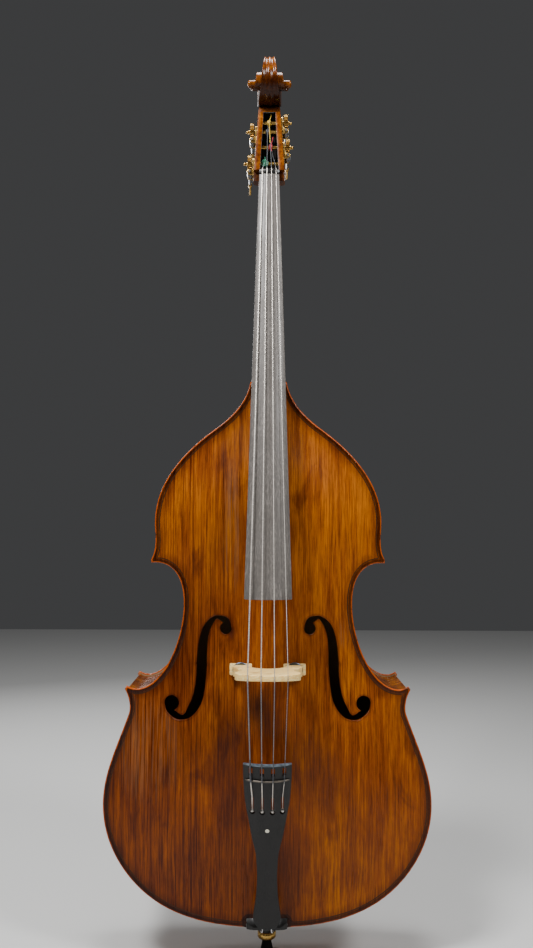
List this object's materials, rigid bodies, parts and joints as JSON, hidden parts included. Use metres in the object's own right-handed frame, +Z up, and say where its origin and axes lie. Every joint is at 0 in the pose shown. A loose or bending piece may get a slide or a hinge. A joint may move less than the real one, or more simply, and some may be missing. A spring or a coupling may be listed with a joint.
{
  "type": "double bass",
  "caption": "Upright bass with arched plates, f-holes, ebony fingerboard, adjustable bridge, worm-geared tuners, scroll and sliding endpin.",
  "frame": {"origin": "middle of the endpin's rubber tip, where it meets the floor", "axes": "+Z up along the instrument, -Y out of the front plate, +X towards the treble side"},
  "size_m": [0.67, 0.4264, 1.942],
  "materials": {
    "front_varnish": "satin amber-brown varnish over spruce",
    "maple_varnish": "glossy red-brown varnish over maple",
    "bare_wood": "bare, sawn",
    "bridge_maple": "bare, planed",
    "ebony": "polished black",
    "adjuster_metal": "dark grey, turned",
    "steel": "polished",
    "brass": "polished, lightly worn",
    "rubber": "matte",
    "string_metal": "flat wound, satin",
    "silk_e": "green silk wrapping",
    "silk_a": "dark silk wrapping",
    "silk_d": "yellow silk wrapping",
    "silk_g": "red silk wrapping"
  },
  "bodies": {
    "body": {"top_plate": "front_varnish", "back_plate": "maple_varnish", "upper_rib_bass": "maple_varnish", "upper_rib_treble": "maple_varnish", "centre_rib_bass": "maple_varnish", "centre_rib_treble": "maple_varnish", "lower_rib_bass": "maple_varnish", "lower_rib_treble": "maple_varnish", "neck": "maple_varnish", "front_lining": "bare_wood", "back_lining": "bare_wood", "neck_block": "bare_wood", "end_block": "bare_wood", "corner_block_upper_bass": "bare_wood", "corner_block_upper_treble": "bare_wood", "corner_block_lower_bass": "bare_wood", "corner_block_lower_treble": "bare_wood", "bass_bar": "bare_wood", "sound_post": "bare_wood", "bridge_crown": "bridge_maple", "bridge_foot_bass": "bridge_maple", "bridge_foot_treble": "bridge_maple", "fingerboard": "ebony", "nut": "ebony", "saddle": "ebony", "tailpiece": "ebony", "endpin_plug": "ebony", "tailpiece_fret": "steel", "tail_wire": "steel", "endpin_collar": "brass", "machine_plate_d": "brass", "machine_plate_a": "brass", "machine_plate_g": "brass", "machine_plate_e": "brass", "string_d": "string_metal", "string_a": "string_metal", "string_g": "string_metal", "string_e": "string_metal"},
    "roller_d": {"roller_d": "brass", "gear_d": "brass", "winding_d": "silk_d"},
    "key_d": {"worm_d": "steel"},
    "roller_a": {"roller_a": "brass", "gear_a": "brass", "winding_a": "silk_a"},
    "key_a": {"worm_a": "steel"},
    "roller_g": {"roller_g": "brass", "gear_g": "brass", "winding_g": "silk_g"},
    "key_g": {"worm_g": "steel"},
    "roller_e": {"roller_e": "brass", "gear_e": "brass", "winding_e": "silk_e"},
    "key_e": {"worm_e": "steel"},
    "endpin": {"endpin_rod": "steel", "endpin_tip": "rubber"},
    "clamp_screw": {"endpin_screw": "brass"},
    "adjuster_bass": {"bridge_adjuster_bass": "adjuster_metal"},
    "adjuster_treble": {"bridge_adjuster_treble": "adjuster_metal"}
  },
  "joints": [
    {"name": "turn_key_d", "type": "hinge", "parent": "body", "child": "key_d", "pos_m": [0.03689, 0.00584, 1.7719], "axis": [0, 1, 0], "continuous": true},
    {"name": "turn_roller_d", "type": "hinge", "parent": "body", "child": "roller_d", "pos_m": [0, 0.00584, 1.795], "axis": [1, 0, 0], "continuous": true},
    {"name": "turn_key_a", "type": "hinge", "parent": "body", "child": "key_a", "pos_m": [-0.03827, -0.00036, 1.7484], "axis": [0, 1, 0], "continuous": true},
    {"name": "turn_roller_a", "type": "hinge", "parent": "body", "child": "roller_a", "pos_m": [0, -0.00036, 1.7715], "axis": [1, 0, 0], "continuous": true},
    {"name": "turn_key_g", "type": "hinge", "parent": "body", "child": "key_g", "pos_m": [0.04059, -0.01106, 1.7089], "axis": [0, 1, 0], "continuous": true},
    {"name": "turn_roller_g", "type": "hinge", "parent": "body", "child": "roller_g", "pos_m": [0, -0.01106, 1.732], "axis": [1, 0, 0], "continuous": true},
    {"name": "turn_key_e", "type": "hinge", "parent": "body", "child": "key_e", "pos_m": [-0.04305, -0.02313, 1.6669], "axis": [0, 1, 0], "continuous": true},
    {"name": "turn_roller_e", "type": "hinge", "parent": "body", "child": "roller_e", "pos_m": [0, -0.02313, 1.69], "axis": [1, 0, 0], "continuous": true},
    {"name": "endpin_slide", "type": "slide", "parent": "body", "child": "endpin", "axis": [0, 0, -1], "range_m": [0, 0.25]},
    {"name": "clamp_screw_turn", "type": "hinge", "parent": "body", "child": "clamp_screw", "pos_m": [0, 0.02, 0.03225], "axis": [0, 1, 0], "range_deg": [0, 720]},
    {"name": "turn_adjuster_bass", "type": "hinge", "parent": "body", "child": "adjuster_bass", "pos_m": [-0.054, -0.1473, 0.60825], "axis": [0, 1, 0], "range_deg": [-1440, 1440]},
    {"name": "turn_adjuster_treble", "type": "hinge", "parent": "body", "child": "adjuster_treble", "pos_m": [0.054, -0.1473, 0.60825], "axis": [0, 1, 0], "range_deg": [-1440, 1440]}
  ],
  "couplings": [
    {"joint": "turn_roller_d", "follows": "turn_key_d", "ratio": -0.038462},
    {"joint": "turn_roller_a", "follows": "turn_key_a", "ratio": -0.038462},
    {"joint": "turn_roller_g", "follows": "turn_key_g", "ratio": -0.038462},
    {"joint": "turn_roller_e", "follows": "turn_key_e", "ratio": -0.038462}
  ]
}
